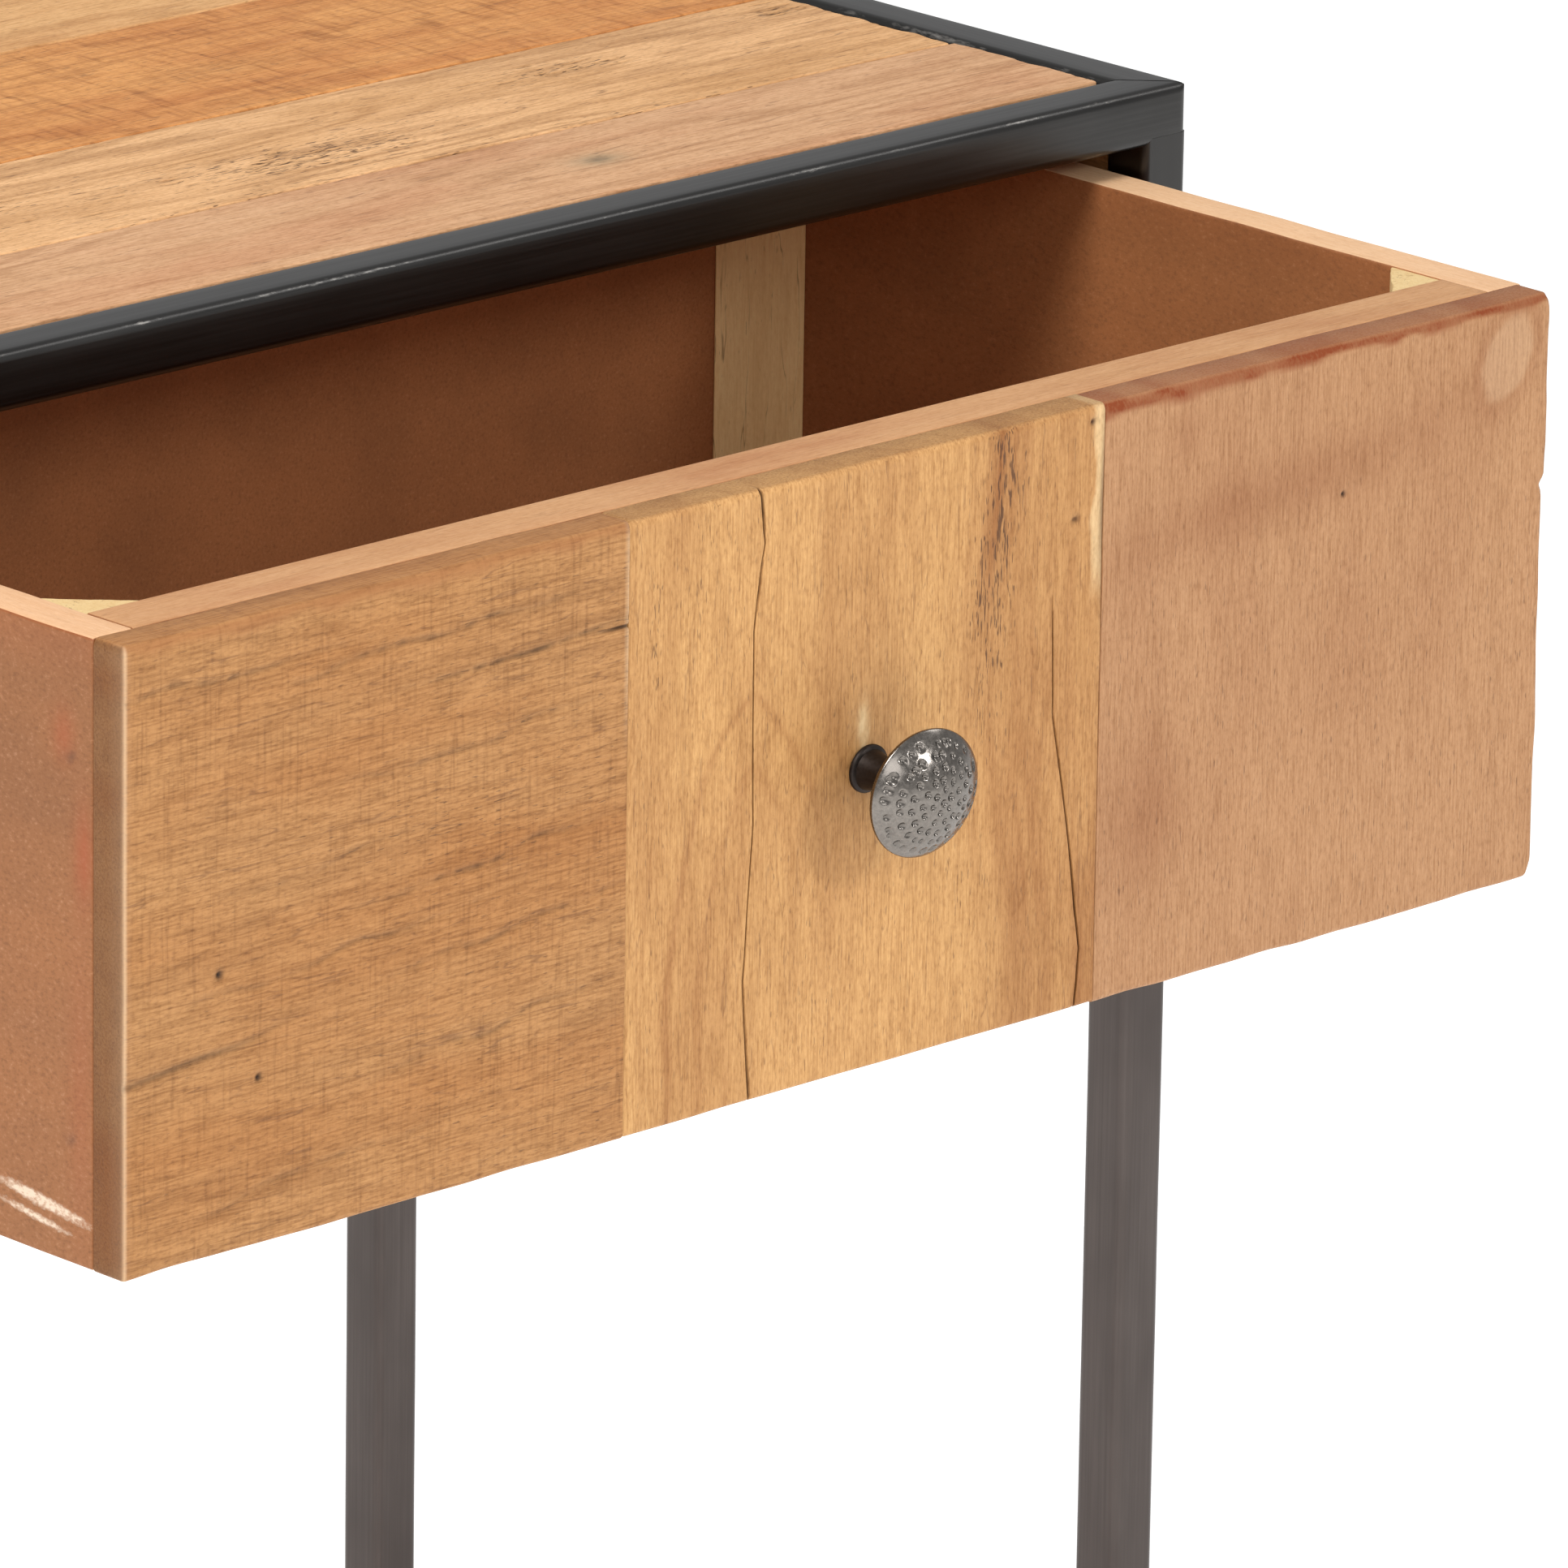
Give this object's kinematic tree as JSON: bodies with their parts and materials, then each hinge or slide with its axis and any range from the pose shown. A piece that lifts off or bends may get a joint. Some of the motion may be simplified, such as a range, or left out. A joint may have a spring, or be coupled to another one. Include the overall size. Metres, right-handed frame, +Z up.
{
  "type": "side table with drawer",
  "caption": "Small rectangular side table: slim square-tube metal frame, plank top set flush in it, and a wooden plank-fronted drawer with a round dimpled knob.",
  "frame": {"origin": "on the floor at the centre of the table's outline, seen from above with the drawer standing open and the knob included", "axes": "+Z up, +X to the right of someone facing the drawer, the drawer front faces -Y"},
  "size_m": [0.5, 0.471, 0.6],
  "materials": {
    "black_steel": "satin black lacquer over brushed steel",
    "zinc_steel": "zinc-plated",
    "black_plastic": "matt moulded",
    "wood_pink": "satin lacquered reclaimed wood",
    "wood_yellow": "satin lacquered reclaimed wood",
    "wood_orange": "satin lacquered reclaimed wood",
    "wood_pale": "satin lacquered reclaimed wood",
    "wood_golden_brown": "satin lacquered reclaimed wood",
    "wood_golden": "satin lacquered reclaimed wood",
    "wood_pink_brown": "satin lacquered reclaimed wood",
    "wood_terracotta": "satin lacquered wood",
    "wood_plain": "sanded wood",
    "brown_board": "smooth brown board",
    "pewter": "worn antique pewter"
  },
  "bodies": {
    "table": {"leg_front_left": "black_steel", "leg_front_right": "black_steel", "leg_rear_left": "black_steel", "leg_rear_right": "black_steel", "top_rail_front": "black_steel", "top_rail_rear": "black_steel", "top_rail_left": "black_steel", "top_rail_right": "black_steel", "low_rail_front": "black_steel", "low_rail_rear": "black_steel", "low_rail_left": "black_steel", "low_rail_right": "black_steel", "foot_front_left": "black_plastic", "foot_front_right": "black_plastic", "foot_rear_left": "black_plastic", "foot_rear_right": "black_plastic", "top_board_1": "wood_pink", "top_board_2": "wood_yellow", "top_board_3": "wood_orange", "top_board_4": "wood_pale", "top_support_left": "black_steel", "top_support_right": "black_steel", "top_screws": "zinc_steel", "side_board_left_front": "wood_terracotta", "side_board_left_rear": "wood_golden", "side_board_right_front": "wood_golden", "side_board_right_rear": "wood_pink_brown", "back_panel": "brown_board", "side_tabs": "black_steel", "back_tabs": "black_steel", "panel_screws": "zinc_steel", "runner_left": "wood_plain", "runner_right": "wood_plain", "runner_screws": "zinc_steel", "guide_left": "wood_plain", "guide_right": "wood_plain", "drawer_stops": "wood_plain"},
    "drawer": {"face_board_left": "wood_golden_brown", "face_board_middle": "wood_golden", "face_board_right": "wood_pink_brown", "sub_front": "wood_plain", "drawer_side_left": "wood_terracotta", "drawer_side_right": "wood_terracotta", "drawer_back": "brown_board", "drawer_bottom": "brown_board", "block_front_left": "wood_pale", "block_front_right": "wood_pale", "block_rear_left": "wood_pale", "block_rear_right": "wood_pale", "face_screws": "zinc_steel", "drawer_nails": "zinc_steel", "knob_head": "pewter", "knob_stem": "black_steel", "knob_screw": "zinc_steel", "knob_washer": "zinc_steel"}
  },
  "joints": [
    {"name": "drawer_slide", "type": "slide", "parent": "table", "child": "drawer", "axis": [0, -1, 0], "range_m": [-0.144, 0.046]}
  ]
}
